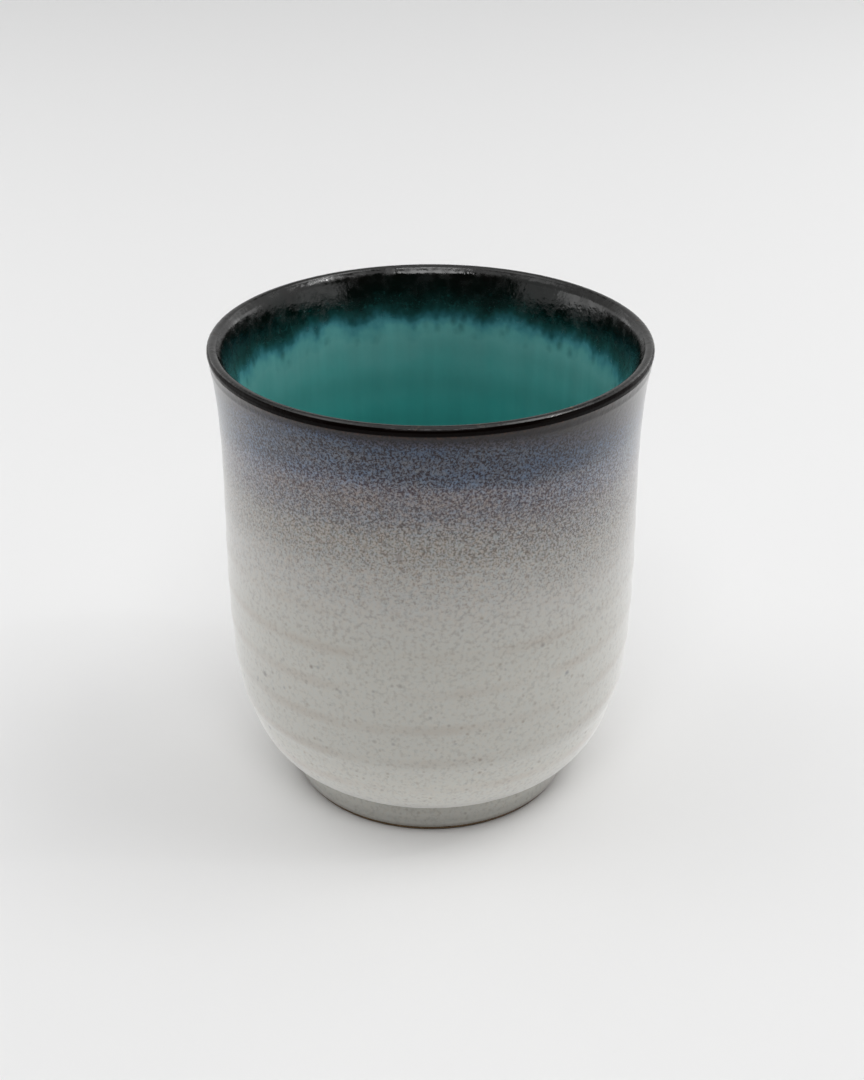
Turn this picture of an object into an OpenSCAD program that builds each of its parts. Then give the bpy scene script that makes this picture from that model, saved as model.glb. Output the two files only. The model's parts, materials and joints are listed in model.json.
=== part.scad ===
// Yunomi: a thrown stoneware tea cup without a handle, for holding in both hands.
// Lengths are in millimetres. The cup stands on z = 0 and its axis is the z axis.
// Every piece is turned from a section in the right half of the x-z plane.

/* [Cup] */
// Height from the table to the top of the lip
cup_h = 89.7; // [84:0.1:100]
// Outside diameter over the lip
lip_d = 80; // [77:0.5:90]

/* [Wall] */
// How far the lip stands out past the neck, the slight waist under it
lip_flare = 1.8; // [0.5:0.1:5]
// Height of the neck above the table
neck_z = 68; // [60:0.5:74]
// How far the belly, the fullest part of the wall, stands out past the neck
belly_swell = 0.3; // [0:0.1:4]
// Height of the belly above the table
belly_z = 46; // [38:0.5:54]
// How far the hip, where the wall turns in to the foot, is tucked in from the belly
hip_tuck = 2.1; // [1:0.1:5]
// Height of the hip above the table
hip_z = 20; // [17:0.5:26]
// Lean of the wall at the hip, away from upright, in degrees
hip_lean = 30; // [15:1:40]
// Thickness of the thrown clay wall, from the belly up
wall_t = 2.6; // [1.8:0.1:4]
// Thickness of the clay wall at the hip
hip_t = 3.4; // [2.4:0.1:5]
// Thickness of the clay floor at the middle
floor_t = 5; // [3.5:0.1:8]

/* [Lip] */
// Thickness of the rounded lip over its glaze
lip_t = 2; // [1.5:0.1:3]
// Lean of the lip's outside, away from upright, in degrees
lip_lean_out = 22.5; // [10:0.5:35]
// Lean of the lip's inside, away from upright, in degrees
lip_lean_in = 24; // [10:0.5:35]

/* [Foot] */
// Outside diameter of the foot ring at the table
foot_d = 52.4; // [46:0.2:58]
// Height of the foot ring from the table to its seat under the floor
foot_h = 7; // [5:0.1:9]
// Width of the foot ring at the table
foot_w = 4.4; // [3:0.1:7]
// Lean of the foot ring's outside, in degrees
foot_lean_out = 2.5; // [0:0.5:8]
// Lean of the foot ring's inside, in degrees
foot_lean_in = 6; // [0:0.5:12]
// Radius of the sponged edges at the table
foot_edge_r = 0.7; // [0.3:0.05:1.2]

/* [Glaze] */
// Thickness of a dipped coat of glaze
glaze_t = 0.4; // [0.25:0.05:0.6]
// Thickness of the sprayed shoulder coat at its upper edge
spray_t = 0.25; // [0.1:0.05:0.5]
// Thickness of the sprayed shoulder coat where it fades out
spray_edge_t = 0.08; // [0.04:0.01:0.1]
// Height of the shoulder coat's lower edge below the top of the lip
shoulder_drop = 30; // [15:0.5:45]
// Height of the iron lip coat's outer edge below the top of the lip
lip_drop_out = 3; // [2.4:0.1:6]
// Height of the iron lip coat's inner edge below the top of the lip
lip_drop_in = 9.5; // [4:0.1:16]
// Depth of the glaze that pools on the floor
pool_t = 1.1; // [0.6:0.1:2]
// Height above the floor at which the pooled glaze has thinned to a coat
pool_h = 7; // [4:0.5:12]
// Height of the bare clay at the outside of the foot
bare_h = 1.3; // [1.2:0.1:3]
// Height of the bare clay at the inside of the foot
well_bare_h = 2.4; // [1.4:0.1:4]

/* [Hidden] */
$fn = 96;

// Steps in each stretch of a curve, and in each round edge
curve_steps = 12;
edge_steps = 6;
// A step this close to the end of a run, as a share of a step, is left out
near_end_share = 0.35;

// Handles of the curves, as shares of the stretch that each one crosses
heel_out_share = 0.78;
heel_up_share = 0.08;
hip_up_share = 0.13;
belly_down_share = 0.26;
wall_share = 0.4;
flare_up_share = 0.27;
flare_end_share = 0.19;
floor_out_share = 0.95;
floor_up_share = 0.6;
// Rise of the heel where it leaves the foot, above level, in degrees
heel_rise = 8;

// Radii of the clay under its dipped coat
neck_r = lip_d/2 - lip_flare - glaze_t;
belly_r = neck_r + belly_swell;
hip_r = belly_r - hip_tuck;

// Foot ring: radii at the table and at the seat
foot_r = foot_d/2;
well_r = foot_r - foot_w;
seat_r = foot_r + foot_h*tan(foot_lean_out);
well_seat_r = well_r - foot_h*tan(foot_lean_in);

// Heights of the floor and of the edges between coats
floor_z = foot_h + floor_t;
shoulder_z = cup_h - shoulder_drop;
lip_out_z = cup_h - lip_drop_out;
lip_in_z = cup_h - lip_drop_in;

// Lip: one round edge, concentric in clay and in glaze
lip_c = [lip_d/2 - lip_t/2, cup_h - lip_t/2];
lip_clay_r = lip_t/2 - glaze_t;

// A point at an angle on a circle, and an arc of such points
function on_circle(c, r, a) = c + r*[cos(a), sin(a)];
function arc(c, r, a0, a1) =
    [for (i = [0:edge_steps]) on_circle(c, r, a0 + (a1 - a0)*i/edge_steps)];

// A direction that leans away from upright, and one that rises from level
function leaning(a) = [sin(a), cos(a)];
function rising(a) = [cos(a), sin(a)];

// A cubic curve through p[0] and p[3] with the handles p[1] and p[2]
function on_curve(p, t) =
    pow(1 - t, 3)*p[0] + 3*pow(1 - t, 2)*t*p[1] + 3*(1 - t)*t*t*p[2] + pow(t, 3)*p[3];

// The place on a rising curve that has the height z: an end of it, or found by halving
function halved(p, z, lo = 0, hi = 1, left = 40) =
    let (mid = (lo + hi)/2)
    left == 0 ? mid
    : on_curve(p, mid).y < z ? halved(p, z, mid, hi, left - 1)
    : halved(p, z, lo, mid, left - 1);
function curve_at(p, z) =
    z <= p[0].y ? 0
    : z >= p[3].y ? 1
    : halved(p, z);

// A chain of rising curves: its place at a height, a point on it, and a run of points
function chain_at(chain, z) =
    let (below = len([for (p = chain) if (p[3].y <= z) p]),
         k = min(below, len(chain) - 1))
    k + curve_at(chain[k], z);
function on_chain(chain, u) =
    let (k = min(floor(u), len(chain) - 1))
    on_curve(chain[k], u - k);
function run(chain, z0, z1) =
    let (u0 = chain_at(chain, z0), u1 = chain_at(chain, z1),
         near = near_end_share/curve_steps,
         inner = [for (i = [0:curve_steps*len(chain)])
                  if (i/curve_steps > u0 + near && i/curve_steps < u1 - near) i/curve_steps])
    [for (u = concat([u0], inner, [u1])) on_chain(chain, u)];

// Outside of the clay, from the seat of the foot up to the lip
seat = [seat_r, foot_h];
hip = [hip_r, hip_z];
belly = [belly_r, belly_z];
neck = [neck_r, neck_z];
lip_start = on_circle(lip_c, lip_clay_r, -lip_lean_out);
flare_h = lip_start.y - neck_z;
outer_chain = [
    [seat, seat + heel_out_share*(hip_r - seat_r)*rising(heel_rise),
     hip - heel_up_share*(hip_z - foot_h)*leaning(hip_lean), hip],
    [hip, hip + hip_up_share*(belly_z - hip_z)*leaning(hip_lean),
     belly - [0, belly_down_share*(belly_z - hip_z)], belly],
    [belly, belly + [0, wall_share*(neck_z - belly_z)],
     neck - [0, wall_share*(neck_z - belly_z)], neck],
    [neck, neck + [0, flare_up_share*flare_h],
     lip_start - flare_end_share*flare_h*leaning(lip_lean_out), lip_start]
];

// Inside of the clay, from the middle of the floor up to the lip
floor_mid = [0, floor_z];
hip_in = hip + hip_t*[-cos(hip_lean), sin(hip_lean)];
belly_in = belly - [wall_t, 0];
neck_in = neck - [wall_t, 0];
lip_end = on_circle(lip_c, lip_clay_r, 180 - lip_lean_in);
flare_in_h = lip_end.y - neck_z;
inner_chain = [
    [floor_mid, floor_mid + [floor_out_share*hip_in.x, 0],
     hip_in - floor_up_share*(hip_in.y - floor_z)*leaning(hip_lean), hip_in],
    [hip_in, hip_in + hip_up_share*(belly_z - hip_in.y)*leaning(hip_lean),
     belly_in - [0, belly_down_share*(belly_z - hip_in.y)], belly_in],
    [belly_in, belly_in + [0, wall_share*(neck_z - belly_z)],
     neck_in - [0, wall_share*(neck_z - belly_z)], neck_in],
    [neck_in, neck_in + [0, flare_up_share*flare_in_h],
     lip_end - flare_end_share*flare_in_h*leaning(lip_lean_in), lip_end]
];

// List helpers
function slice(list, i0, i1) = [for (i = [i0:i1]) list[i]];
function tail(list) = slice(list, 1, len(list) - 1);
function backwards(list) = [for (i = [len(list) - 1:-1:0]) list[i]];

// The clay's whole surface as one path: up the foot and wall, over the lip and down inside.
// Its first and last points only give the path a direction there.
function foot_wall(z) = [foot_r + z*tan(foot_lean_out), z];
low_run = run(outer_chain, foot_h, shoulder_z);
high_run = run(outer_chain, shoulder_z, lip_out_z);
lip_run = concat(run(outer_chain, lip_out_z, lip_start.y),
                 tail(arc(lip_c, lip_clay_r, -lip_lean_out, 180 - lip_lean_in)),
                 tail(backwards(run(inner_chain, lip_in_z, lip_end.y))));
inside_run = backwards(run(inner_chain, floor_z, lip_in_z));
past_mid = [-inside_run[len(inside_run) - 2].x, inside_run[len(inside_run) - 2].y];
skin = concat([foot_wall(0), foot_wall(bare_h)], low_run, tail(high_run), tail(lip_run),
              tail(inside_run), [past_mid]);

// Places on that path: edge of the bare foot, seat, and the edges between coats
bare_i = 1;
seat_i = bare_i + 1;
shoulder_i = seat_i + len(low_run) - 1;
lip_i = shoulder_i + len(high_run) - 1;
inside_i = lip_i + len(lip_run) - 1;
floor_i = inside_i + len(inside_run) - 1;

// The clay under the foot's well, as a path from the middle out and down the ring's inside
function well_wall(z) = [well_r - z*tan(foot_lean_in), z];
well_skin = [[-well_seat_r, foot_h], [0, foot_h], well_wall(foot_h), well_wall(well_bare_h),
             well_wall(0)];

// Depth of each coat at a point of the clay's surface
function along(z, z0, z1) = min(max((z - z0)/(z1 - z0), 0), 1);
function spray_depth(p) =
    spray_edge_t + (spray_t - spray_edge_t)*along(p.y, shoulder_z, lip_out_z);
function lip_depth(p) =
    p.x < lip_c.x ? glaze_t : glaze_t + spray_t*(1 - along(p.y, lip_out_z, lip_start.y));
function inside_depth(p) =
    glaze_t + (pool_t - glaze_t)*pow(1 - along(p.y, floor_z, floor_z + pool_h), 2);

// Right-hand normal of a step, and the way out of a path at one of its points
function step_normal(a, b) = [b.y - a.y, a.x - b.x]/norm(b - a);
function way_out(path, i) =
    let (n0 = step_normal(path[i - 1], path[i]), n1 = step_normal(path[i], path[i + 1]))
    (n0 + n1)/(1 + n0*n1);

// Section of a coat over part of a path, between two depths given for each point
function coat(path, i0, i1, under, over) =
    concat([for (i = [i0:i1]) path[i] + under(path[i])*way_out(path, i)],
           [for (i = [i1:-1:i0]) path[i] + over(path[i])*way_out(path, i)]);
no_depth = function(p) 0;
dip_depth = function(p) glaze_t;

// Centre of a round edge between the table and a wall that leans from it
function edge_center(r, lean, side) =
    [r - side*foot_edge_r*(1 - sin(lean))/cos(lean), foot_edge_r];

module turned(section) {
    rotate_extrude() polygon(section);
}

module clay_body() {
    color("#7a6a58") turned(concat([[0, foot_h]], slice(skin, seat_i, floor_i)));
}

module foot_ring() {
    outer = edge_center(foot_r, foot_lean_out, 1);
    inner = edge_center(well_r, foot_lean_in, -1);
    color("#6b5a45") turned(concat(
        arc(outer, foot_edge_r, -90, -foot_lean_out),
        [seat, [well_seat_r, foot_h]],
        arc(inner, foot_edge_r, 180 + foot_lean_in, 270)));
}

module outside_glaze() {
    color("#b4b5ae") turned(coat(skin, bare_i, lip_i, no_depth, dip_depth));
}

module shoulder_glaze() {
    over = function(p) glaze_t + spray_depth(p);
    color("#6a6f93") turned(coat(skin, shoulder_i, lip_i, dip_depth, over));
}

module lip_glaze() {
    over = function(p) lip_depth(p);
    color("#2b2621") turned(coat(skin, lip_i, inside_i, no_depth, over));
}

module inside_glaze() {
    over = function(p) inside_depth(p);
    color("#2f6f70") turned(coat(skin, inside_i, floor_i, no_depth, over));
}

module foot_well_glaze() {
    color("#a9a99f") turned(coat(well_skin, 1, 3, no_depth, dip_depth));
}

clay_body();
foot_ring();
outside_glaze();
shoulder_glaze();
lip_glaze();
inside_glaze();
foot_well_glaze();
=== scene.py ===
# %% [markdown]
# # A yunomi in Blender
# A yunomi is a tea cup without a handle: thrown on a wheel, trimmed, glazed and fired.
# The CAD frame holds its clay and its coats of glaze as turned solids with their real sizes.
# This lesson leaves the sizes alone and gives the coats the surface that the wheel, the spray
# and the kiln leave on them.

# %% Load the frame
import json
import math

import bmesh
import bpy
import numpy as np
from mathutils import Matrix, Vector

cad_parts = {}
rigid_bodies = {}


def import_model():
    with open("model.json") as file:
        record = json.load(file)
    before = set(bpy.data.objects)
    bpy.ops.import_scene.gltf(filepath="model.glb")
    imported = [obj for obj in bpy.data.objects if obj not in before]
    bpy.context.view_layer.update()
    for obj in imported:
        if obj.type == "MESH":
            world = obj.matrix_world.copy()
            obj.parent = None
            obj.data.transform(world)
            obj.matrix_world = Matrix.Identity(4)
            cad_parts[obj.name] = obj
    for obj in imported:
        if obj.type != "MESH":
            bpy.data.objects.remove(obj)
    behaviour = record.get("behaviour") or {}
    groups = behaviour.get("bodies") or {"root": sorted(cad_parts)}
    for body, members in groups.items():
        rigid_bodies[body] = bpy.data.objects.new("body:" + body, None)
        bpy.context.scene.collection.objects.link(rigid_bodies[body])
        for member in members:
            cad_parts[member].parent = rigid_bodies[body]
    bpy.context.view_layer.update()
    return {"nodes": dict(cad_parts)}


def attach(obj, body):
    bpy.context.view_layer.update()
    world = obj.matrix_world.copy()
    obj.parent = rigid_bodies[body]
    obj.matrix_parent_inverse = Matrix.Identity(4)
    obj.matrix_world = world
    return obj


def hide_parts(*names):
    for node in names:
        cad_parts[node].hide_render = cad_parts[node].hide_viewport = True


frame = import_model()
MM = 0.001
TAU = 2 * math.pi
print("frame:", sorted(frame["nodes"]))

# %% [markdown]
# ## The camera
# The photograph looks down on the cup at 28 degrees from about 37 cm away. A camera could be
# turned by hand until the outline fits, but the rim is a circle of known size, so its ellipse,
# the foot and the sides give the place, the angle and the lens by a least-squares fit.

# %% Camera
# In an upright picture the 36 mm of the sensor are its height.
CAMERA_PLACE = (0.254 * MM, -302.27 * MM, 208.55 * MM)
CAMERA_PITCH = 27.905
camera_data = bpy.data.cameras.new("photo_camera")
camera_data.sensor_width = 36
camera_data.lens = 60
camera = bpy.data.objects.new("photo_camera", camera_data)
camera.location = CAMERA_PLACE
camera.rotation_euler = (math.radians(90 - CAMERA_PITCH), 0, 0)
bpy.context.scene.collection.objects.link(camera)
bpy.context.scene.camera = camera
print("camera looks down at", CAMERA_PITCH, "degrees")

# %% [markdown]
# ## The lines that the pieces are turned from
# A lathe-turned solid is one flat outline, spun round an axis. The outline is read back from
# the frame by slicing each node with a half plane, so the looks follow the CAD if a size changes.
# The other way would be to type the curves again here, where they could drift apart.

# %% Slice a node
# Points nearer than MERGE are one, and a bend of less than FLAT_BEND isn't a corner.
MERGE, ON_PLANE = 1e-6, 1e-7
FLAT_BEND = 2e-4


def half_section(node):
    """The outline of a turned node, as rows of radius and height in mm, in order."""
    cut = bmesh.new()
    cut.from_mesh(frame["nodes"][node].data)
    bmesh.ops.remove_doubles(cut, verts=cut.verts, dist=MERGE)
    bmesh.ops.bisect_plane(cut, geom=[*cut.verts, *cut.edges, *cut.faces], dist=ON_PLANE,
                           plane_co=(0, 0, 0), plane_no=(1, 0, 0), clear_inner=True)
    sliced = bmesh.ops.bisect_plane(cut, geom=[*cut.verts, *cut.edges, *cut.faces], dist=ON_PLANE,
                                    plane_co=(0, 0, 0), plane_no=(0, 1, 0))
    beside = {}
    for edge in sliced["geom_cut"]:
        if isinstance(edge, bmesh.types.BMEdge):
            first, second = edge.verts
            beside.setdefault(first, []).append(second)
            beside.setdefault(second, []).append(first)
    ends = [v for v in beside if len(beside[v]) == 1]
    path = [ends[0] if ends else next(iter(beside))]
    while True:
        onward = [v for v in beside[path[-1]] if v not in path[-2:]]
        if not onward or onward[0] is path[0]:
            break
        path.append(onward[0])
    line = np.array([(v.co.x, v.co.z) for v in path]) / MM
    cut.free()
    before, after = line - np.roll(line, 1, axis=0), np.roll(line, -1, axis=0) - line
    bend = np.abs(before[:, 0] * after[:, 1] - before[:, 1] * after[:, 0])
    lengths = np.linalg.norm(before, axis=1) * np.linalg.norm(after, axis=1)
    corner = bend > FLAT_BEND * lengths
    corner[[0, -1]] = True
    return line[corner]


sections = {node: half_section(node) for node in frame["nodes"]}
for node, line in sections.items():
    print(f"{node}: {len(line)} points, from {line[0].round(2)} to {line[-1].round(2)} mm")

# %% [markdown]
# Each coat has a seated side, which lies on the clay or on the coat below, and a finished side.
# The seated points are the ones that also lie on the outline of what carries the coat.

# %% Split a coat into its two sides
SEATED_WITHIN = 0.004


def gap_to(points, outline):
    """Distance of each point from an outline, in mm."""
    start, step = outline, np.roll(outline, -1, axis=0) - outline
    rel = points[:, None] - start[None]
    share = (rel * step).sum(2) / np.maximum((step ** 2).sum(1), 1e-12)
    nearest = start + np.clip(share, 0, 1)[..., None] * step
    return np.linalg.norm(points[:, None] - nearest, axis=2).min(1)


def two_sides(node, carriers, way):
    """The seated and the finished line of a coat, both running along the way given."""
    line = sections[node]
    seated = np.min([gap_to(line, sections[c]) for c in carriers], axis=0) < SEATED_WITHIN
    turn = next(i for i in range(len(line)) if seated[i] and not seated[i - 1])
    line, seated = np.roll(line, -turn, axis=0), np.roll(seated, -turn)
    under, over = line[seated], line[~seated][::-1]
    if (under[-1] - under[0]) @ way < 0:
        under, over = under[::-1], over[::-1]
    return under, over


UP, INWARD, OUTWARD = np.array([0, 1]), np.array([-1, 0]), np.array([1, 0])
outside_under, outside_over = two_sides("outside_glaze", ["clay_body", "foot_ring"], UP)
shoulder_under, shoulder_over = two_sides("shoulder_glaze", ["outside_glaze"], UP)
lip_under, lip_over = two_sides("lip_glaze", ["clay_body"], INWARD)
inside_under, inside_over = two_sides("inside_glaze", ["clay_body"], INWARD)
well_under, well_over = two_sides("foot_well_glaze", ["clay_body", "foot_ring"], OUTWARD)
print("outside coat:", len(outside_under), "seated and", len(outside_over), "finished points")

# %% [markdown]
# ## Smooth lines
# The CAD outlines are made of short straight steps. A curve through their corners gives the eye
# the even swell of a thrown wall. A subdivision surface would also smooth them, but it pulls
# the line off the corners and so changes the size. This curve passes through every one.

# %% Smooth a line
SHARP_TURN = math.radians(40)


def rounded(line, radius, arc_steps=6):
    """The line with each sharp inner corner rounded by an arc of that radius in mm."""
    made = [line[0]]
    for before, corner, after in zip(line, line[1:], line[2:]):
        back = (before - corner) / np.linalg.norm(before - corner)
        on = (after - corner) / np.linalg.norm(after - corner)
        turn = math.acos(np.clip(-back @ on, -1, 1))
        if turn < SHARP_TURN:
            made.append(corner)
            continue
        reach = radius * math.tan(turn / 2)
        middle = corner + (back + on) / np.linalg.norm(back + on) * radius / math.cos(turn / 2)
        for share in np.linspace(0, 1, arc_steps + 1):
            rough = corner + reach * ((1 - share) * back + share * on) - middle
            made.append(middle + radius * rough / np.linalg.norm(rough))
    return np.array([*made, line[-1]])


def stepped(line, longest):
    """The line with its long straight runs cut into even steps."""
    made = [line[:1]]
    for start, end in zip(line, line[1:]):
        count = math.ceil(np.linalg.norm(end - start) / longest)
        made.append(start + (end - start) * np.arange(1, count + 1)[:, None] / count)
    return np.vstack(made)


def eased(line, parts):
    """A smooth curve through all the points of the line, with each step cut into parts."""
    step = np.diff(line, axis=0)
    length = np.linalg.norm(step, axis=1)[:, None]
    slope = step / length
    inner = (slope[:-1] * length[1:] + slope[1:] * length[:-1]) / (length[1:] + length[:-1])
    slope = np.vstack([slope[:1], inner, slope[-1:]])
    t = (np.arange(parts) / parts)[None, :, None]
    p0, p1 = line[:-1, None], line[1:, None]
    m0, m1 = slope[:-1, None] * length[:, None], slope[1:, None] * length[:, None]
    curve = ((2 * t**3 - 3 * t**2 + 1) * p0 + (t**3 - 2 * t**2 + t) * m0
             + (3 * t**2 - 2 * t**3) * p1 + (t**3 - t**2) * m1)
    return np.vstack([curve.reshape(-1, 2), line[-1:]])


# %% The finished skin as one line
# From the bare edge of the foot up the wall, over the lip and down to the middle of the floor.
# One curve for all the coats leaves no crease where one coat ends and the next begins.
# The bare wall stops SPRAY_FEATHER mm short of the spray, and the curve swells over that gap.
PARTS = 4
LONGEST_STEP = 2.0
CORNER_FILL = 1.0
SPRAY_FEATHER = 4.0
bare_wall = outside_over[outside_over[:, 1] < shoulder_over[0, 1] - SPRAY_FEATHER]
bare_wall = stepped(rounded(bare_wall, CORNER_FILL), LONGEST_STEP)
at_shoulder = len(bare_wall)
at_lip = at_shoulder + len(shoulder_over) - 1
at_inside = at_lip + len(lip_over) - 1
skin = eased(np.vstack([bare_wall, shoulder_over, lip_over[1:], inside_over[1:]]), PARTS)
ends = (0, at_shoulder, at_lip, at_inside)
wall_skin, spray_skin, lip_skin, inside_skin = (
    skin[PARTS * start:(PARTS * end + 1 if end else None)]
    for start, end in zip(ends, (*ends[1:], None)))
lip_middle = lip_skin[lip_skin[:, 1].argmax(), 0]
print("skin:", len(skin), "points; lip top at", skin[:, 1].max().round(2), "mm")

# %% [markdown]
# ## What the wheel and the kiln leave
# Fingers that draw up a turning wall leave a shallow spiral. On this cup it climbs 7.6 mm a turn
# and stands about a tenth of a millimetre proud. In the kiln the iron glaze of the lip ran down
# inside and set in a low roll. A bump in the material could stand for both, but the outline and
# the mesh would lose them, so they are made in the mesh. The glaze later uses the same
# spiral, because it thins on a crest.

# %% Relief of the skin
# Sizes are in mm. In each pair, something begins to fade in or out at the first height and has
# done so at the second. RING_START turns the spiral to its place, in turns, and RING_MEAN takes
# off its mean height, so that it makes the wall no thicker. LIP_TURN is how fast the way out
# swings from outwards to inwards across the lip.
RING_PITCH, RING_HEIGHT, RING_START = 7.6, 0.09, 0.263
RING_MEAN = 0.37
RINGS_BEGIN, RINGS_WEAKEN, RINGS_END = (11, 24), (46, 62), (76, 86)
WEAKENED_BY = 0.55
LIP_WAVE, WAVE_BEGINS = 0.05, (76, 88)
LIP_TURN = 1.4
ROLL_HEIGHT, ROLL_TOP, ROLL_ROUND, ROLL_LENGTH = 0.5, 89.3, 1.2, 8
ROLL_BEGINS = (68, 79)
INNER_PITCH, INNER_HEIGHT = 9.5, 0.06
INNER_BEGIN, INNER_END = (24, 36), (68, 80)
FLOOR_PITCH, FLOOR_HEIGHT = 6.5, 0.1
FLOOR_ENDS, FLOOR_MIDDLE = (14.5, 18), (1, 6)
RUN_COUNT, RUN_HEIGHT = 37, 0.03
RUNS_BEGIN, RUNS_END = (66, 76), (78, 80)


def ridge(theta, z):
    """The throwing spiral: 1 on its crest and 0 in the groove."""
    turns = z / RING_PITCH - theta / TAU - RING_START
    return (0.5 + 0.5 * np.cos(TAU * turns)) ** 2


def fade(z, low, high):
    """0 below low, 1 above high, and smooth between them."""
    share = np.clip((z - low) / (high - low), 0, 1)
    return share * share * (3 - 2 * share)


def lip_wave(theta, z):
    """The lip is never quite round: how far it stands out, in mm."""
    return LIP_WAVE * fade(z, *WAVE_BEGINS) * (np.sin(2 * theta + 1) + 0.5 * np.sin(5 * theta))


def wall_relief(theta, r, z):
    """How far the outside stands out from the smooth line, in mm."""
    weaker = 1 - WEAKENED_BY * fade(z, *RINGS_WEAKEN)
    rings = fade(z, *RINGS_BEGIN) * weaker * (1 - fade(z, *RINGS_END))
    return RING_HEIGHT * rings * (ridge(theta, z) - RING_MEAN) + lip_wave(theta, z)


def run_roll(z):
    """The iron glaze ran down inside: a roll under the lip, thickest where it stopped, in mm."""
    under_lip = 0.6 * (1 - fade(z, ROLL_TOP - ROLL_ROUND, ROLL_TOP))
    down_wall = 0.4 * np.clip((ROLL_TOP - ROLL_ROUND - z) / ROLL_LENGTH, 0, 1)
    return ROLL_HEIGHT * fade(z, *ROLL_BEGINS) * (under_lip + down_wall)


def lip_relief(theta, r, z):
    """The same over the lip, where the way out turns from outwards to inwards."""
    inner = r < lip_middle
    side = np.clip(LIP_TURN * (r - lip_middle), -1, 1)
    return lip_wave(theta, z) * side + inner * run_roll(z)


def inside_relief(theta, r, z):
    """The same for the inside: wide rings on the wall, a spiral on the floor, and glaze runs."""
    on_wall = fade(z, *INNER_BEGIN) * (1 - fade(z, *INNER_END))
    rings = INNER_HEIGHT * on_wall * np.cos(TAU * z / INNER_PITCH - theta)
    on_floor = (1 - fade(z, *FLOOR_ENDS)) * fade(r, *FLOOR_MIDDLE)
    floor = FLOOR_HEIGHT * on_floor * np.cos(TAU * r / FLOOR_PITCH + theta)
    at_runs = fade(z, *RUNS_BEGIN) * (1 - fade(z, *RUNS_END))
    runs = RUN_HEIGHT * at_runs * np.cos(RUN_COUNT * theta + 3 * np.sin(5 * theta))
    return rings + floor + runs + run_roll(z) - lip_wave(theta, z)


print("spiral:", RING_PITCH, "mm a turn,", RING_HEIGHT, "mm high")

# %% [markdown]
# ## Turning the pieces
# The Screw modifier or bmesh's spin would turn a line into a round piece, but they leave every
# column alike. Here the columns are laid out one by one, so that the relief can vary round the
# cup. Each piece is a closed skin: its finished side, its seated side and the ends between them.

# %% Turn a piece
COLUMNS = 288
SAME_PLACE = 1e-8


def way_out(line):
    """The direction away from the clay at each point of a line, which runs from foot to floor."""
    along = np.gradient(line, axis=0)
    along /= np.linalg.norm(along, axis=1)[:, None]
    return np.stack([along[:, 1], -along[:, 0]], axis=1)


def turned(name, node, stretches, relief=None):
    """A closed piece turned from stretches, each a line and how much of the relief it takes."""
    line = np.vstack([points for points, share in stretches])
    out = np.vstack([way_out(points) for points, share in stretches])
    takes = np.concatenate([np.full(len(points), share) for points, share in stretches])
    theta = (np.arange(COLUMNS) / COLUMNS * TAU)[:, None]
    lift = np.zeros((COLUMNS, len(line)))
    if relief:
        lift = relief(theta, line[None, :, 0], line[None, :, 1]) * takes * np.sign(line[:, 0])
    r, z = line[:, 0] + lift * out[:, 0], line[:, 1] + lift * out[:, 1]
    places = np.stack([r * np.cos(theta), r * np.sin(theta), z], axis=2).reshape(-1, 3) * MM
    closed = line[0, 0] > 0 and line[-1, 0] > 0
    row = np.arange(len(line) if closed else len(line) - 1)
    column = np.arange(COLUMNS)[:, None] * len(line)
    beyond = np.roll(column, -1, axis=0)
    above = (row + 1) % len(line)
    faces = np.stack([column + row, beyond + row, beyond + above, column + above], axis=2)
    mesh = bpy.data.meshes.new(name)
    mesh.from_pydata(places.tolist(), [], faces.reshape(-1, 4).tolist())
    tidy = bmesh.new()
    tidy.from_mesh(mesh)
    bmesh.ops.remove_doubles(tidy, verts=tidy.verts, dist=SAME_PLACE)
    bmesh.ops.recalc_face_normals(tidy, faces=tidy.faces)
    tidy.to_mesh(mesh)
    open_edges = sum(not edge.is_manifold for edge in tidy.edges)
    tidy.free()
    mesh.shade_smooth()
    mesh.set_sharp_from_angle(angle=SHARP_TURN)
    piece = bpy.data.objects.new(name, mesh)
    bpy.context.scene.collection.objects.link(piece)
    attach(piece, "root")
    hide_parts(node)
    print(f"{name}: {len(mesh.polygons)} faces, {open_edges} open edges")
    return piece


# %% [markdown]
# Glaze draws up into a small bead where it ends on bare clay, because molten glass has a
# surface tension. A Bevel modifier could round the edge, but it would round the joints with other
# coats too. A half round between the two sides of the coat is put only where it is wanted.

# %% Bead of a coat's edge
def bead(under, over, steps=5):
    """Points of a half round from the seated to the finished side, at the first edge of a coat."""
    middle, half = (under[0] + over[0]) / 2, (under[0] - over[0]) / 2
    ahead = over[1] - over[0]
    drop = -ahead / np.linalg.norm(ahead) * np.linalg.norm(half)
    angle = np.linspace(0, math.pi, steps + 2)[1:-1, None]
    return middle + np.cos(angle) * half + np.sin(angle) * drop


# %% Turn the coats and the foot
hidden_wall = eased(shoulder_under, PARTS)
outside_coat = turned("outside_coat", "outside_glaze", [
    (bead(outside_under, wall_skin), 0), (wall_skin, 1), (hidden_wall, 1),
    (outside_under[::-1], 0)], wall_relief)
shoulder_coat = turned("shoulder_coat", "shoulder_glaze", [
    (spray_skin, 1), (hidden_wall[::-1], -1)], wall_relief)
lip_coat = turned("lip_coat", "lip_glaze", [
    (lip_skin, 1), (lip_under[::-1], 0)], lip_relief)
inside_coat = turned("inside_coat", "inside_glaze", [
    (inside_under[::-1], 0), (inside_skin, 1)], inside_relief)
well_skin = stepped(rounded(well_over, CORNER_FILL), LONGEST_STEP)
well_coat = turned("foot_well_coat", "foot_well_glaze", [
    (well_skin, 0), (bead(well_under[::-1], well_skin[::-1])[::-1], 0), (well_under[::-1], 0)])
foot = turned("foot", "foot_ring", [(sections["foot_ring"], 0)])

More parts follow.
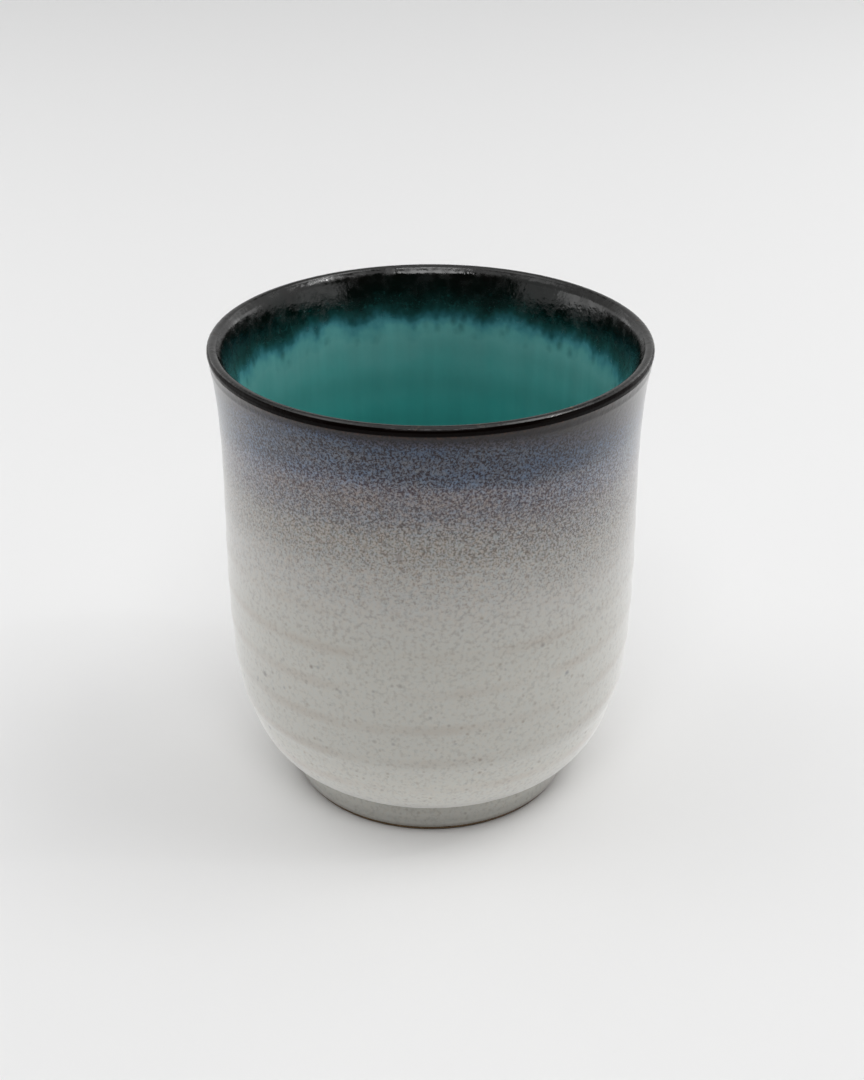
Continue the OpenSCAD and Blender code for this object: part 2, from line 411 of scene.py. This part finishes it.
# %% [markdown]
# ## Finishes
# Glaze is a thin layer of glass, so every coat here has the gloss of glass and the colour of
# what is dissolved or floating in it. The colours are drawn by shader nodes from a point's
# height and place on the cup in millimetres, so that they meet across the joints of the coats.

# %% Colours and nodes
def tint(code):
    """A colour from its sRGB hex code, as the linear values that shaders use."""
    shades = [int(code[i:i + 2], 16) / 255 for i in (1, 3, 5)]
    return (*(s / 12.92 if s <= 0.04045 else ((s + 0.055) / 1.055) ** 2.4 for s in shades), 1)


def add(tree, kind, links=None, stops=(), **settings):
    """Adds a node: its settings, its sockets (a value, a socket or a node) and a ramp's stops."""
    made = tree.nodes.new("ShaderNode" + kind)
    for name, value in settings.items():
        setattr(made, name, value)
    for key, value in (links or {}).items():
        sockets = [s for s in made.inputs if s.enabled]
        socket = sockets[key] if isinstance(key, int) else next(s for s in sockets if s.name == key)
        if isinstance(value, bpy.types.Node):
            value = next(s for s in value.outputs if s.enabled)
        if isinstance(value, bpy.types.NodeSocket):
            tree.links.new(value, socket)
        else:
            socket.default_value = value
    for i, (place, shade) in enumerate(stops):
        ramp = made.color_ramp.elements
        stop = ramp[i] if i < 2 else ramp.new(place)
        stop.position = place
        stop.color = tint(shade) if isinstance(shade, str) else (shade, shade, shade, 1)
    return made


def new_finish(name):
    """An empty material and its node tree."""
    finish = bpy.data.materials.new(name)
    finish.use_nodes = True
    finish.node_tree.nodes.clear()
    return finish, finish.node_tree


print("middle grey #808080 is", round(tint("#808080")[0], 3), "in linear light")

# %% Where a point lies on the cup
def cup_places(tree):
    """A point's place in mm, its x and z, and how near it is to the crest of a throwing ring."""
    metres = add(tree, "TexCoord").outputs["Object"]
    place = add(tree, "VectorMath", {"Vector": metres, "Scale": 1 / MM}, operation="SCALE")
    x, y, z = add(tree, "SeparateXYZ", {"Vector": place}).outputs
    angle = add(tree, "Math", {0: y, 1: x}, operation="ARCTAN2")
    start = add(tree, "Math", {0: angle, 1: -1, 2: -RING_START * TAU}, operation="MULTIPLY_ADD")
    turns = add(tree, "Math", {0: z, 1: TAU / RING_PITCH, 2: start}, operation="MULTIPLY_ADD")
    wave = add(tree, "Math", {0: turns}, operation="COSINE")
    crest = add(tree, "MapRange", {"Value": wave, "From Min": -1})
    return place, x, z, crest


# %% [markdown]
# ### The sprayed outside
# The base is a pale satin glaze with iron specks. A blue-violet glaze was sprayed on from the lip
# down. Where it lies thick it melts into pale blue droplets about half a millimetre apart on a
# purple-brown ground, and further down only single dots of the spray are left on the pale coat.
# A painted gradient would lose the dots. Here a fine noise is cut off at a level that depends on
# the height, so that the share of droplets changes down the wall as it does under a spray gun.
# Each of the functions below lays one thing over the colour so far.

# %% How thick the spray lies
# It runs out between two heights, in mm. It is made thicker, so darker, towards +x, the right as
# seen from the camera, and towards both sides as seen from the camera. A slow drift and thicker
# grooves keep it from ending in a level line.
SPRAY_LOW, SPRAY_HIGH = 40, 90
SPRAY_LEAN = 0.06
SPRAY_SIDES = 1 / 380
SPRAY_DRIFT, DRIFT_SIZE = 6, 26
SPRAY_IN_GROOVES = 1.5


def spray_height(tree, place, x, z, crest, across):
    """How thick the spray lies: 0 where it has run out, 1 at the lip."""
    drift = add(tree, "TexNoise", {"Vector": place, "Scale": 1 / DRIFT_SIZE, "Detail": 1})
    lean = add(tree, "Math", {0: x, 1: SPRAY_LEAN, 2: z}, operation="MULTIPLY_ADD")
    sides = add(tree, "Math", {0: across, 1: SPRAY_SIDES, 2: lean}, operation="MULTIPLY_ADD")
    uneven = add(tree, "Math", {0: drift, 1: SPRAY_DRIFT, 2: sides}, operation="MULTIPLY_ADD")
    reach = add(tree, "Math", {0: crest, 1: -SPRAY_IN_GROOVES, 2: uneven},
                operation="MULTIPLY_ADD")
    middle = (SPRAY_DRIFT - SPRAY_IN_GROOVES) / 2
    return add(tree, "MapRange", {"Value": reach, "From Min": SPRAY_LOW + middle,
                                  "From Max": SPRAY_HIGH + middle})


# %% Ground and droplets
# The finest mist of a spray gun is smaller than a pixel of the picture, so MIST and DOTS, in mm,
# are drawn as coarse as they need to be to show. The stops go by the thickness of the spray.
MIST, DOTS = 0.42, 0.8
MIST_CONTRAST = 2.1
SOFT_EDGE = 0.165
ONLY_MIST, ONLY_DOTS = 0.55, 0.2
GROUND = [
    (0.0, "#b6b4ad"), (1.0, "#221d1b"), (0.13, "#b1aea7"), (0.26, "#aaa6a1"), (0.33, "#a09b96"),
    (0.4, "#928d88"), (0.52, "#777169"), (0.6, "#665f5c"), (0.69, "#574f52"), (0.75, "#4a3f46"),
    (0.81, "#2d1e25"), (0.87, "#231319"), (0.91, "#1e0f16"), (0.94, "#181416")]
DROPLETS = [
    (0.0, "#c4c3bc"), (1.0, "#302b2b"), (0.13, "#c0bfb8"), (0.26, "#bfbeb8"), (0.33, "#bcbbb6"),
    (0.4, "#b8b7b2"), (0.52, "#afaeaa"), (0.6, "#a8a8a6"), (0.69, "#9c9c9d"), (0.75, "#989da3"),
    (0.81, "#778491"), (0.87, "#657281"), (0.91, "#5d6c7d"), (0.94, "#50525f")]
DROPLET_LEVEL = [(0.0, 0.42), (1.0, 0.5), (0.4, 0.44), (0.55, 0.47), (0.7, 0.5)]


def sprayed_mist(tree, place, height):
    """Pale droplets on the darker ground between them."""
    ground = add(tree, "ValToRGB", {0: height}, stops=GROUND)
    droplets = add(tree, "ValToRGB", {0: height}, stops=DROPLETS)
    level = add(tree, "ValToRGB", {0: height}, stops=DROPLET_LEVEL)
    mist = add(tree, "TexNoise", {"Vector": place, "Scale": 1 / MIST, "Detail": 4,
                                  "Roughness": 0.85})
    dots = add(tree, "TexNoise", {"Vector": place, "Scale": 1 / DOTS, "Detail": 3,
                                  "Roughness": 0.6})
    mist = add(tree, "Math", {0: mist, 1: MIST_CONTRAST, 2: (1 - MIST_CONTRAST) / 2},
               operation="MULTIPLY_ADD")
    coarse = add(tree, "MapRange", {"Value": height, "From Min": ONLY_MIST, "From Max": ONLY_DOTS})
    grain = add(tree, "Mix", {"Factor": coarse, "A": mist, "B": dots})
    above = add(tree, "Math", {0: grain, 1: level}, operation="SUBTRACT")
    share = add(tree, "Math", {0: above, 1: 1 / SOFT_EDGE, 2: 0.5}, operation="MULTIPLY_ADD",
                use_clamp=True)
    return add(tree, "Mix", {"Factor": share, "A": ground, "B": droplets}, data_type="RGBA")


# %% Bluer and browner places
# Under the spray the glaze is bluer where it lies thick and browner where it lies thin. Grains of
# iron and of ash in it are warmer and cooler from one to the next. Sizes and heights are in mm.
PATCH, PATCH_FLAT = 7, 2.2
THIN_ON_CREST = 0.12
THICK_AT_SIDES = 1 / 6000
PATCHES_BEGIN, PATCHES_FULL = 68, 80
GRAINS = 0.7
GRAINS_BEGIN, GRAINS_FULL, GRAINS_LEAST = 50, 86, 0.15


def with_cast(tree, colour, place, z, crest, across):
    """The colour with its blue and brown patches and its warm and cool grains."""
    flat = add(tree, "VectorMath", {0: place, 1: (1, 1, PATCH_FLAT)}, operation="MULTIPLY")
    patch = add(tree, "TexNoise", {"Vector": flat, "Scale": 1 / PATCH, "Detail": 2})
    thin = add(tree, "Math", {0: crest, 1: THIN_ON_CREST, 2: patch}, operation="MULTIPLY_ADD")
    thin = add(tree, "Math", {0: across, 1: -THICK_AT_SIDES, 2: thin}, operation="MULTIPLY_ADD")
    cast = add(tree, "ValToRGB", {0: thin}, stops=[(0.3, "#e8f0ff"), (0.8, "#fdf3ed")])
    shown = add(tree, "MapRange", {"Value": z, "From Min": PATCHES_BEGIN,
                                   "From Max": PATCHES_FULL})
    colour = add(tree, "Mix", {"Factor": shown, "A": colour, "B": cast}, data_type="RGBA",
                 blend_type="MULTIPLY")
    grains = add(tree, "TexNoise", {"Vector": place, "Scale": 1 / GRAINS, "Detail": 2})
    cast = add(tree, "ValToRGB", {0: grains}, stops=[(0.33, "#e6f2ff"), (0.67, "#ffeee2")])
    shown = add(tree, "MapRange", {"Value": z, "From Min": GRAINS_BEGIN, "From Max": GRAINS_FULL,
                                   "To Min": GRAINS_LEAST})
    return add(tree, "Mix", {"Factor": shown, "A": colour, "B": cast}, data_type="RGBA",
               blend_type="MULTIPLY")


# %% Iron specks
# Specks of two sizes have melted through the pale coat: how far apart they lie and how large they
# are, in mm, and a cool and a warm shade. EMPTY is the share of places without a speck.
SPECKS = ((1.1, 0.5, "#9fa0a0", "#a39a8d"), (5.0, 0.8, "#919293", "#998d80"))
SPECK_EDGE = 0.45
EMPTY = 0.3
SPECKS_HIDDEN, SPECKS_CLEAR = 0.75, 0.5


def with_specks(tree, colour, place, height):
    """The colour with iron specks, which the spray hides further up."""
    shown = add(tree, "MapRange", {"Value": height, "From Min": SPECKS_HIDDEN,
                                   "From Max": SPECKS_CLEAR})
    for apart, size, cool, warm in SPECKS:
        specks = add(tree, "TexVoronoi", {"Vector": place, "Scale": 1 / apart})
        red, green, _ = add(tree, "SeparateColor", {0: specks.outputs["Color"]}).outputs
        sizes = add(tree, "MapRange", {"Value": red, "From Min": EMPTY, "To Max": size / apart})
        depth = add(tree, "Math", {0: sizes, 1: specks.outputs["Distance"]}, operation="SUBTRACT")
        cover = add(tree, "Math", {0: depth, 1: apart / SPECK_EDGE}, operation="MULTIPLY",
                    use_clamp=True)
        cover = add(tree, "Math", {0: cover, 1: shown}, operation="MULTIPLY")
        shade = add(tree, "Mix", {"Factor": green, "A": tint(cool), "B": tint(warm)},
                    data_type="RGBA")
        colour = add(tree, "Mix", {"Factor": cover, "A": colour, "B": shade}, data_type="RGBA")
    return colour


# %% Rings, foot and heel
# The pale coat thins to broken warm lines on the crests of the throwing rings. On the last
# millimetre of the foot it is so thin that the brown clay shows through, and the same brown
# also stands in as painted shade where the foot meets the floor. It has run down, and lies
# thick and pale on the heel. The stops go by the height, up to HEEL_TOP in mm: they make the
# heel pale, and below it they paint shade that darkens the foot towards the floor.
LINE_CREST, LINE_SHARE, DASHES = 0.7, 0.22, 18
LINES_END, LINES_FULL = 58, 48
FOOT_THIN, FOOT_BARE, FOOT_CLAY_AND_SHADE = 1.9, 0.8, 0.75
HEEL_TOP = 30
POOLED_AND_FOOT_SHADE = [(0.0, 0.56), (1.0, 0.768), (0.09, 0.64), (0.13, 0.78), (0.2, 0.85), (0.3, 0.96),
          (0.48, 0.96), (0.6, 0.9), (0.75, 0.79)]
PALENESS = 1.31


def with_wear(tree, colour, place, z, crest):
    """The colour with the lines of the rings, the thin edge on the foot, the pale heel and the
    painted shade low on the foot.
    """
    worn = add(tree, "MapRange", {"Value": crest, "From Min": LINE_CREST, "To Max": LINE_SHARE})
    broken = add(tree, "TexNoise", {"Vector": place, "Scale": 1 / DASHES, "Detail": 3,
                                    "Roughness": 0.6})
    dashes = add(tree, "MapRange", {"Value": broken, "From Min": 0.38, "From Max": 0.62})
    line = add(tree, "Math", {0: worn, 1: dashes}, operation="MULTIPLY")
    low = add(tree, "MapRange", {"Value": z, "From Min": LINES_END, "From Max": LINES_FULL})
    line = add(tree, "Math", {0: line, 1: low}, operation="MULTIPLY")
    # The brown where the glaze thins on the foot's edge also paints the shade where the foot meets
    # the floor.
    thin = add(tree, "MapRange", {"Value": z, "From Min": FOOT_THIN, "From Max": FOOT_BARE,
                                  "To Max": FOOT_CLAY_AND_SHADE})
    for share, shade in ((line, "#a28c7b"), (thin, "#5b4a36")):
        colour = add(tree, "Mix", {"Factor": share, "A": colour, "B": tint(shade)},
                     data_type="RGBA")
    # Painted shade: the lowest stops darken the foot towards the floor, and the middle ones make
    # the heel pale.
    base = add(tree, "MapRange", {"Value": z, "From Max": HEEL_TOP})
    pooled_and_foot_shade = add(tree, "ValToRGB", {0: base}, stops=POOLED_AND_FOOT_SHADE)
    pooled_and_foot_shade = add(tree, "Math", {0: pooled_and_foot_shade, 1: PALENESS}, operation="MULTIPLY")
    return add(tree, "VectorMath", {0: colour, "Scale": pooled_and_foot_shade}, operation="SCALE")


# %% Colour of the outside
def sprayed_wall(tree, place, x, z, crest):
    """Colour of the outside from the foot to the lip."""
    across = add(tree, "Math", {0: x, 1: x}, operation="MULTIPLY")
    height = spray_height(tree, place, x, z, crest, across)
    colour = sprayed_mist(tree, place, height)
    colour = with_cast(tree, colour, place, z, crest, across)
    colour = with_specks(tree, colour, place, height)
    return with_wear(tree, colour, place, z, crest)


print("outside: droplets", MIST, "mm, specks", [size for apart, size, *shades in SPECKS], "mm")

# %% [markdown]
# ### The lip and the inside
# The lip was dipped in a black iron glaze. Outside it ends in broken rust, where it is too thin to
# stay black, and in a brown haze below that. Inside it ran down into the turquoise coat while both
# were molten, so the edge is blotched and hangs in short streaks, blue where the two have mixed.
# The runs could be painted, but noise of three sizes, drawn out along the wall, moves the edge
# up and down all round the cup without a seam.

# %% Where the iron ran
# For each size of run: how far apart, how drawn out, and how far it reaches, in mm. RUN_SHIFT
# picks the place in the noise. The depth goes from 0 on the floor to 1 at the lip.
RUN_LINE, BELOW_LINE, ABOVE_LINE = 80.2, 66, 9
RUNS = ((9.0, 0.6, 5), (4.5, 0.8, 4), (1.2, 0.8, 1.6))
RUN_SHIFT = (29, -8, 0)


def run_depth(tree, place, z):
    """How far up from the floor towards the lip a point counts as, with the runs."""
    hung = z
    for apart, stretch, reach in RUNS:
        drawn = add(tree, "VectorMath", {0: place, 1: (1, 1, stretch), 2: RUN_SHIFT},
                    operation="MULTIPLY_ADD")
        noise = add(tree, "TexNoise", {"Vector": drawn, "Scale": 1 / apart, "Detail": 1})
        hung = add(tree, "Math", {0: noise, 1: reach, 2: hung}, operation="MULTIPLY_ADD")
    line = RUN_LINE + sum(reach for apart, stretch, reach in RUNS) / 2
    return add(tree, "MapRange", {"Value": hung, "From Min": line - BELOW_LINE,
                                  "From Max": line + ABOVE_LINE})


# %% Colour of the inside
# Drops of the iron glaze lie just below its edge, flecks of turquoise show through it, and faint
# streaks run down the wall. Their sizes are in mm, and the stops go by the depth.
DROPS, DROPS_TALL = 2.6, 0.6
FLECKS = 0.9
STREAKS, STREAKS_TALL = 2.5, 0.06
TURQUOISE_TO_IRON = [
    (0.0, "#389a95"), (1.0, "#0b0a08"), (0.547, "#42a29d"), (0.63, "#46a49f"),
    (0.744, "#5cada9"), (0.824, "#6fb4b1"), (0.85, "#62a8a8"), (0.866, "#4c9098"),
    (0.88, "#2c656c"), (0.896, "#15403f"), (0.913, "#0a2623"), (0.945, "#04100d")]
WHERE_DROPS = [(0.82, 0), (0.905, 0), (0.855, 1), (0.885, 1)]
WHERE_FLECKS = [(0.88, 0), (0.955, 0), (0.9, 1), (0.93, 0.5)]


def run_inside(tree, place, z):
    """Colour of the inside from the lip to the floor."""
    depth = run_depth(tree, place, z)
    colour = add(tree, "ValToRGB", {0: depth}, stops=TURQUOISE_TO_IRON)
    tall = add(tree, "VectorMath", {0: place, 1: (1, 1, DROPS_TALL)}, operation="MULTIPLY")
    dots = add(tree, "TexVoronoi", {"Vector": tall, "Scale": 1 / DROPS})
    drops = add(tree, "MapRange", {"Value": dots.outputs["Distance"], "From Min": 0.4,
                                   "From Max": 0.1, "To Max": 0.5})
    speckle = add(tree, "TexNoise", {"Vector": place, "Scale": 1 / FLECKS, "Detail": 2})
    flecks = add(tree, "MapRange", {"Value": speckle, "From Min": 0.58, "From Max": 0.72,
                                    "To Max": 0.5})
    for marks, where, shade in ((drops, WHERE_DROPS, "#123c3c"), (flecks, WHERE_FLECKS, "#1f5755")):
        within = add(tree, "ValToRGB", {0: depth}, stops=where)
        share = add(tree, "Math", {0: marks, 1: within}, operation="MULTIPLY")
        colour = add(tree, "Mix", {"Factor": share, "A": colour, "B": tint(shade)},
                     data_type="RGBA")
    drawn = add(tree, "VectorMath", {0: place, 1: (1, 1, STREAKS_TALL)}, operation="MULTIPLY")
    streak = add(tree, "TexNoise", {"Vector": drawn, "Scale": 1 / STREAKS, "Detail": 3})
    streaks = add(tree, "MapRange", {"Value": streak, "From Min": 0.25, "From Max": 0.75,
                                     "To Min": 0.93, "To Max": 1.07})
    return add(tree, "VectorMath", {0: colour, "Scale": streaks}, operation="SCALE")


print("inside: the iron ends about", RUN_LINE, "mm up")

# %% [markdown]
# ### Clay and glass
# Bare clay is rough all through. Every glaze is glass with an IOR of about 1.5, and how far it
# melted decides how rough it set. One material with masks could hold all of them, but each
# finish's gloss, sheen and IOR then couldn't be plain numbers on the shader, which the export
# needs. So each finish is a material of its own.

# %% Bare stoneware
# Fired brown clay with a fine grit: no gloss at all, so it stays dark beside the glaze.
GRIT, GRIT_HEIGHT = 0.5, 0.06
stoneware, tree = new_finish("bare_stoneware")
place, x, z, crest = cup_places(tree)
grit = add(tree, "TexNoise", {"Vector": place, "Scale": 1 / GRIT, "Detail": 4, "Roughness": 0.7})
clay_colour = add(tree, "ValToRGB", {0: grit}, stops=[
    (0.3, "#4f3f2c"), (0.75, "#8a7355"), (0.55, "#6a563d")])
bump = add(tree, "Bump", {"Height": grit, "Distance": GRIT_HEIGHT * MM, "Strength": 1})
shader = add(tree, "BsdfPrincipled", {"Base Color": clay_colour, "Roughness": 0.85, "IOR": 1.5,
                                      "Normal": bump})
add(tree, "OutputMaterial", {"Surface": shader})
print("finish:", stoneware.name)

# %% Pale satin glaze, and the same under the blue-violet spray
# Stony white glazes that set smooth but not mirror-like: broad soft reflections, bright at the
# edges. The sprayed one has a finer peel, because its droplets stand proud.
GLASS_IOR = 1.52
SATIN = {"Roughness": 0.36, "IOR": GLASS_IOR, "Specular IOR Level": 0.25, "Sheen Weight": 0.85,
         "Sheen Roughness": 0.4}
PEEL_HEIGHT = 0.03


def satin_glaze(name, peel_size):
    """The glaze of the outside, with a peel of that size in mm."""
    finish, tree = new_finish(name)
    place, x, z, crest = cup_places(tree)
    peel = add(tree, "TexNoise", {"Vector": place, "Scale": 1 / peel_size, "Detail": 2})
    bump = add(tree, "Bump", {"Height": peel, "Distance": PEEL_HEIGHT * MM, "Strength": 1})
    shader = add(tree, "BsdfPrincipled", {"Base Color": sprayed_wall(tree, place, x, z, crest),
                                          "Normal": bump, **SATIN})
    add(tree, "OutputMaterial", {"Surface": shader})
    print("finish:", finish.name)
    return finish


pale_glaze = satin_glaze("pale_satin_glaze", 1.1)
violet_glaze = satin_glaze("sprayed_blue_violet_glaze", 0.8)

# %% Colour of the lip's outside
# Upwards from the joint with the sprayed coat, in mm: a brown haze, broken rust, and black.
LIP_JOINT = 86.7
LIP_BROWN = 87.6
LIP_BLACK = 88.28
HAZE, WANDER = 1.2, 0.5
HAZE_START = 0.5


def lip_outside(tree, place, x, z, crest, wander):
    """Colour of the outside of the lip, from the sprayed wall up to black."""
    dusted = add(tree, "TexNoise", {"Vector": place, "Scale": 1 / MIST, "Detail": 1})
    edge = add(tree, "Math", {0: dusted, 1: HAZE, 2: z}, operation="MULTIPLY_ADD")
    brown = add(tree, "MapRange", {"Value": edge, "From Min": LIP_JOINT + 0.3,
                                   "From Max": LIP_BROWN + HAZE, "To Max": 0.9})
    starts = add(tree, "MapRange", {"Value": z, "From Min": LIP_JOINT,
                                    "From Max": LIP_JOINT + HAZE_START})
    brown = add(tree, "Math", {0: brown, 1: starts}, operation="MULTIPLY")
    edge = add(tree, "Math", {0: wander, 1: WANDER, 2: z}, operation="MULTIPLY_ADD")
    black = add(tree, "MapRange", {"Value": edge, "From Min": LIP_BLACK - 0.2,
                                   "From Max": LIP_BLACK + 0.25}, interpolation_type="SMOOTHSTEP")
    rust = add(tree, "MapRange", {"Value": edge, "From Min": LIP_BLACK - 0.5,
                                  "From Max": LIP_BLACK - 0.1, "To Max": 0.7})
    broken = add(tree, "MapRange", {"Value": dusted, "From Min": 0.45, "From Max": 0.65})
    rust = add(tree, "Math", {0: rust, 1: broken}, operation="MULTIPLY")
    colour = sprayed_wall(tree, place, x, z, crest)
    for share, shade in ((brown, "#171210"), (rust, "#4a2c1a"), (black, "#080403")):
        colour = add(tree, "Mix", {"Factor": share, "A": colour, "B": tint(shade)},
                     data_type="RGBA")
    return colour


# %% Black iron glaze
# Iron-saturated glass: nearly black, and tan where it has drawn back from the top edge. It is
# glossy over the top and inside of the lip, dull outside, and satin where it runs out on the
# sprayed coat. Each of the three is a finish of its own.
LIP_TAN, TAN_SHARE = 89.2, 0.35
CLOUDS, RIPPLES, RIPPLE_HEIGHT = 2, 1.1, 0.06
WANDER_SIZE = 2.5


def iron_lip(name, outside, **surface):
    """The lip's glaze, with the colours of its outer or its inner side."""
    finish, tree = new_finish(name)
    place, x, z, crest = cup_places(tree)
    wander = add(tree, "TexNoise", {"Vector": place, "Scale": 1 / WANDER_SIZE, "Detail": 3})
    if outside:
        colour = lip_outside(tree, place, x, z, crest, wander)
    else:
        colour = run_inside(tree, place, z)
    top = add(tree, "MapRange", {"Value": z, "From Min": LIP_TAN, "From Max": LIP_TAN + 0.25})
    bare = add(tree, "MapRange", {"Value": wander, "From Min": 0.66, "From Max": 0.76,
                                  "To Max": TAN_SHARE})
    worn = add(tree, "Math", {0: top, 1: bare}, operation="MULTIPLY")
    colour = add(tree, "Mix", {"Factor": worn, "A": colour, "B": tint("#8a6a45")},
                 data_type="RGBA")
    cloud = add(tree, "TexNoise", {"Vector": place, "Scale": 1 / CLOUDS, "Detail": 3})
    gloss = add(tree, "MapRange", {"Value": cloud, "From Min": 0.35, "From Max": 0.65,
                                   "To Min": 0.05, "To Max": 0.3})
    ripple = add(tree, "TexNoise", {"Vector": place, "Scale": 1 / RIPPLES, "Detail": 2})
    bump = add(tree, "Bump", {"Height": ripple, "Distance": RIPPLE_HEIGHT * MM, "Strength": 1})
    shader = add(tree, "BsdfPrincipled", {"Base Color": colour, "Roughness": gloss, "Normal": bump,
                                          "IOR": GLASS_IOR, **surface})
    add(tree, "OutputMaterial", {"Surface": shader})
    print("finish:", finish.name)
    return finish


iron_glaze = iron_lip("black_iron_glaze", False)
dull_iron = iron_lip("dull_iron_glaze", True, **{"Specular IOR Level": 0.04})
rust_edge = iron_lip("rust_brown_edge", True, **{**SATIN, "Sheen Weight": 0.7})

# %% Turquoise glaze
# Copper in a clear glass: deep, wet-looking colour, paler near the edge of the iron and darker
# towards the floor.
SWELLS, SWELL_HEIGHT = 1.4, 0.02
turquoise_glaze, tree = new_finish("turquoise_copper_glaze")
place, x, z, crest = cup_places(tree)
swell = add(tree, "TexNoise", {"Vector": place, "Scale": 1 / SWELLS, "Detail": 2})
bump = add(tree, "Bump", {"Height": swell, "Distance": SWELL_HEIGHT * MM, "Strength": 1})
shader = add(tree, "BsdfPrincipled", {"Base Color": run_inside(tree, place, z), "Roughness": 0.16,
                                      "IOR": GLASS_IOR, "Normal": bump})
add(tree, "OutputMaterial", {"Surface": shader})
print("finish:", turquoise_glaze.name)

# %% Give the pieces their finishes
# The faces on the outside of the lip are dull below LIP_DULL, and satin below the black.
LIP_DULL, LIP_SATIN = 89.4, LIP_BLACK - 0.1
for piece, *finishes in ((outside_coat, pale_glaze), (shoulder_coat, violet_glaze),
                         (lip_coat, iron_glaze, dull_iron, rust_edge),
                         (inside_coat, turquoise_glaze), (well_coat, pale_glaze),
                         (foot, stoneware)):
    for finish in finishes:
        piece.data.materials.append(finish)
for face in lip_coat.data.polygons:
    if math.hypot(face.center.x, face.center.y) > lip_middle * MM:
        face.material_index = sum(face.center.z < top * MM for top in (LIP_DULL, LIP_SATIN))
clay = frame["nodes"]["clay_body"]
for slot in clay.material_slots:
    slot.material = stoneware
print("clay body:", [slot.material.name for slot in clay.material_slots])

# %% [markdown]
# ## The studio
# The cup stands on white paper between side papers, in front of a back paper and under a white
# ceiling, with soft boxes above its sides and its front. The papers could be planes with lamps
# on them, but lights of the same size give the same reflections with less noise. The low papers
# brighten the sides of the cup, the windows above them show as grey patches in the black band
# inside, and one small lamp gives the bright beads on the lip. The room behind the camera is
# dim, which is why the front of the cup is darker than its sides.

# %% Paper floor
# Uncoated white paper: matt, so it takes soft shadows and gives no reflection.
FLOOR_SIZE, FLOOR_MIDDLE_Y = (1.2, 2.0, 1), 0.3
paper, tree = new_finish("white_paper")
shader = add(tree, "BsdfPrincipled", {"Base Color": tint("#ececec"), "Roughness": 0.9})
add(tree, "OutputMaterial", {"Surface": shader})
bpy.ops.mesh.primitive_plane_add(size=1, location=(0, FLOOR_MIDDLE_Y, 0))
floor = bpy.context.object
floor.scale = FLOOR_SIZE
floor.name = "paper_floor"
floor.data.materials.append(paper)
print("floor:", floor.dimensions[:2])


# %% Lights
def soft_light(name, place, size, target, watts):
    """A rectangular light that faces a target and isn't itself in the picture."""
    lamp = bpy.data.lights.new(name, "AREA")
    lamp.shape = "RECTANGLE"
    lamp.size, lamp.size_y = size
    lamp.energy = watts
    light = bpy.data.objects.new(name, lamp)
    light.location = place
    aim = Vector(target) - Vector(place)
    light.rotation_euler = aim.to_track_quat("-Z", "Y").to_euler()
    light.visible_camera = False
    bpy.context.scene.collection.objects.link(light)
    print(f"{name}: {watts} W")


# Each light's name, place, size and target in metres, and power in watts
LIGHTS = (
    ("left_paper", (-0.6, 0.5, 0.17), (0.5, 0.3), (0, 0.5, 0.17), 0.47),
    ("left_paper_middle", (-0.6, 0.075, 0.17), (0.35, 0.3), (0, 0.075, 0.17), 0.63),
    ("left_paper_front", (-0.6, -0.275, 0.17), (0.35, 0.3), (0, -0.275, 0.17), 0.21),
    ("left_window", (-0.6, 0.1, 0.62), (1.1, 0.6), (0, 0.1, 0.62), 1.06),
    ("left_box", (-0.7, 0, 1.2), (0.6, 0.6), (0, 0, 0), 1.1),
    ("right_paper", (0.6, 0.5, 0.17), (0.5, 0.3), (0, 0.5, 0.17), 0.78),
    ("right_paper_middle", (0.6, 0.075, 0.17), (0.35, 0.3), (0, 0.075, 0.17), 0.23),
    ("right_paper_front", (0.6, -0.275, 0.17), (0.35, 0.3), (0, -0.275, 0.17), 0.35),
    ("right_window", (0.6, 0.25, 0.62), (1.1, 0.6), (0, 0.25, 0.62), 1.54),
    ("right_box", (0.7, 0, 1.2), (0.6, 0.6), (0, 0, 0), 3.1),
    ("front_box", (0, -0.9, 1.2), (0.8, 0.5), (0, 0, 0), 6.48),
    ("back_paper", (0, 1.3, 0.65), (3.0, 1.3), (0, 0, 0.65), 7.7),
    ("ceiling", (0, 0.2, 2.4), (3.0, 3.0), (0, 0.2, 0), 24.5),
    ("lamp", (0.6, -0.08, 0.8), (0.025, 0.025), (0, 0, 0.05), 0.3),
)
for light in LIGHTS:
    soft_light(*light)

# %% Backdrop
# Seen by the camera it is as pale as the paper. What the glaze reflects there is a dim room.
world = bpy.data.worlds.new("studio")
bpy.context.scene.world = world
world.use_nodes = True
world.node_tree.nodes.clear()
tree = world.node_tree
dim = add(tree, "Background", {"Color": tint("#1c1c1c")})
pale = add(tree, "Background", {"Color": tint("#dcdcdc")})
seen = add(tree, "LightPath").outputs["Is Camera Ray"]
backdrop = add(tree, "MixShader", {0: seen, 1: dim, 2: pale})
add(tree, "OutputWorld", {"Surface": backdrop})
bpy.context.scene.view_settings.view_transform = "Standard"
print("backdrop:", world.name)
